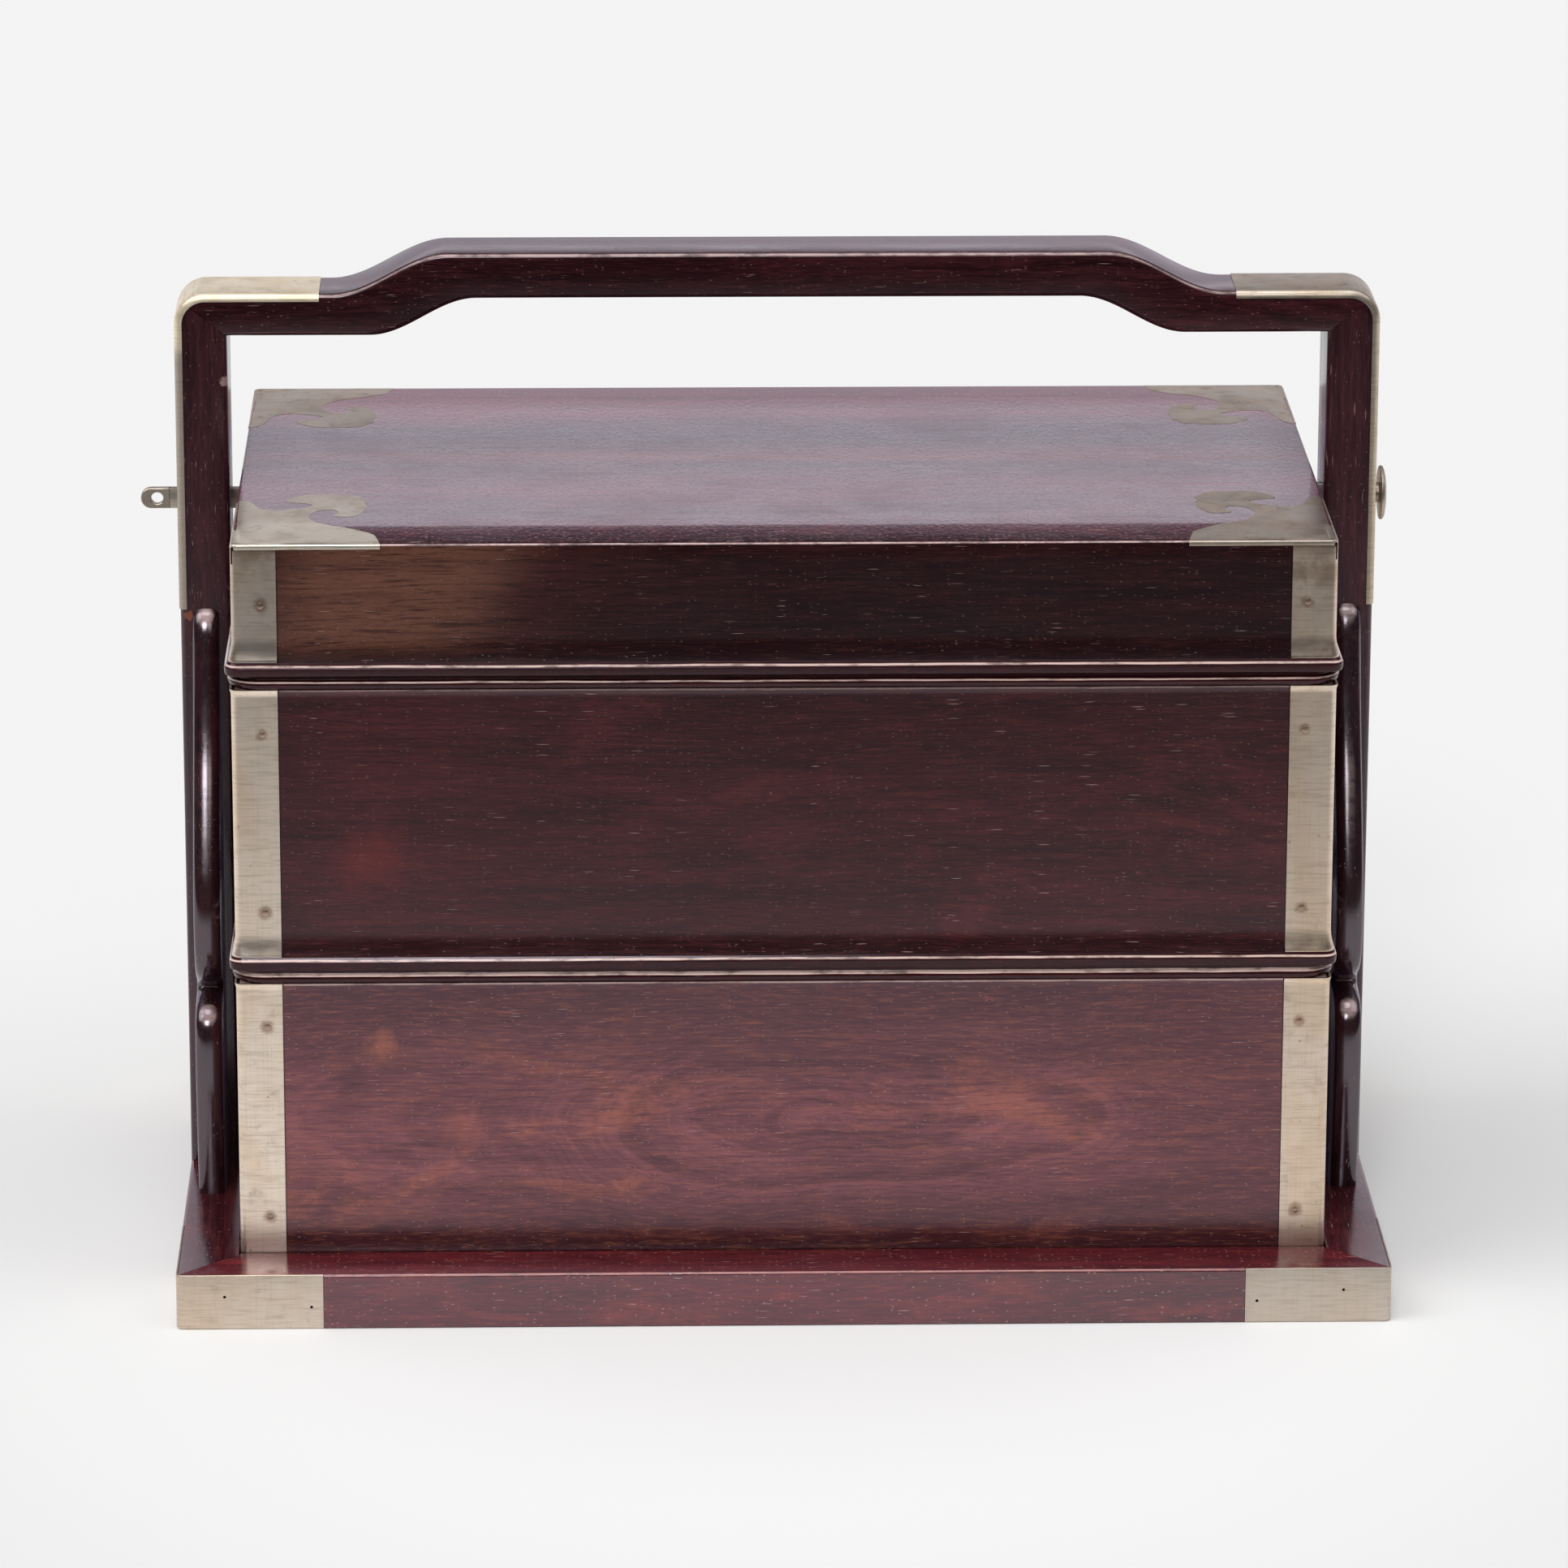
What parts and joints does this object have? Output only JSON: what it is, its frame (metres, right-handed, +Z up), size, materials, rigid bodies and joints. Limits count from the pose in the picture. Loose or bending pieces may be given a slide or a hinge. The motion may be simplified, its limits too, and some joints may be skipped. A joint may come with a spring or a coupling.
{
  "type": "tiered wooden carrying box",
  "caption": "dark hardwood carrying box of stacked trays and a lid on a base with a bridge handle, with pale metal corner straps, cloud mounts and a locking bar",
  "frame": {"origin": "the middle of the underside, in the plane that the box stands on", "axes": "+X along the length to the right, +Y to the back, +Z up"},
  "size_m": [0.3762, 0.2322, 0.3016],
  "materials": {
    "base_wood": "polished reddish brown hardwood with short open pores",
    "frame_wood": "polished near-black reddish hardwood, grain along each piece",
    "lower_tray_wood": "polished reddish hardwood with cloudy dark figure",
    "upper_tray_wood": "polished dark reddish brown hardwood",
    "lid_wood": "polished brown hardwood with straight dark bands",
    "bead_wood": "polished dark hardwood moulding",
    "mount_metal": "pale nickel brass sheet, worn and finely scratched",
    "bar_metal": "dull aged nickel brass"
  },
  "bodies": {
    "frame": {"base_back_rail": "base_wood", "base_corner_plate_back_left": "mount_metal", "base_corner_plate_back_right": "mount_metal", "base_corner_plate_front_left": "mount_metal", "base_corner_plate_front_right": "mount_metal", "base_front_rail": "base_wood", "base_left_rail": "base_wood", "base_panel": "base_wood", "base_right_rail": "base_wood", "base_stretcher": "base_wood", "handle_rail": "frame_wood", "left_handle_strap": "mount_metal", "left_upright": "frame_wood", "right_handle_strap": "mount_metal", "right_upright": "frame_wood", "spandrel_back_left": "frame_wood", "spandrel_back_right": "frame_wood", "spandrel_front_left": "frame_wood", "spandrel_front_right": "frame_wood"},
    "lower_tray": {"lower_tray_back_board": "lower_tray_wood", "lower_tray_bottom": "lower_tray_wood", "lower_tray_front_board": "lower_tray_wood", "lower_tray_left_board": "lower_tray_wood", "lower_tray_right_board": "lower_tray_wood", "lower_tray_rim": "bead_wood", "lower_tray_strap_back_left": "mount_metal", "lower_tray_strap_back_right": "mount_metal", "lower_tray_strap_front_left": "mount_metal", "lower_tray_strap_front_right": "mount_metal"},
    "upper_tray": {"upper_tray_back_board": "upper_tray_wood", "upper_tray_bottom": "upper_tray_wood", "upper_tray_foot_bead": "bead_wood", "upper_tray_front_board": "upper_tray_wood", "upper_tray_left_board": "upper_tray_wood", "upper_tray_right_board": "upper_tray_wood", "upper_tray_rim": "bead_wood", "upper_tray_strap_back_left": "mount_metal", "upper_tray_strap_back_right": "mount_metal", "upper_tray_strap_front_left": "mount_metal", "upper_tray_strap_front_right": "mount_metal"},
    "lid": {"lid_back_board": "lid_wood", "lid_cloud_mount_back_left": "mount_metal", "lid_cloud_mount_back_right": "mount_metal", "lid_cloud_mount_front_left": "mount_metal", "lid_cloud_mount_front_right": "mount_metal", "lid_foot_bead": "bead_wood", "lid_front_board": "lid_wood", "lid_left_board": "lid_wood", "lid_right_board": "lid_wood", "lid_strap_back_left": "mount_metal", "lid_strap_back_right": "mount_metal", "lid_strap_front_left": "mount_metal", "lid_strap_front_right": "mount_metal", "lid_top": "lid_wood"},
    "lock_bar": {"lock_bar": "bar_metal", "lock_bar_head": "bar_metal"}
  },
  "joints": [
    {"name": "lock_bar_slide", "type": "slide", "parent": "frame", "child": "lock_bar", "axis": [1, 0, 0], "range_m": [0, 0.38]},
    {"name": "lower_tray_lift", "type": "slide", "parent": "frame", "child": "lower_tray", "axis": [0, 0, 1], "range_m": [0, 0.0006]},
    {"name": "upper_tray_lift", "type": "slide", "parent": "lower_tray", "child": "upper_tray", "axis": [0, 0, 1], "range_m": [0, 0.0006]},
    {"name": "lid_lift", "type": "slide", "parent": "upper_tray", "child": "lid", "axis": [0, 0, 1], "range_m": [0, 0.0006]}
  ]
}
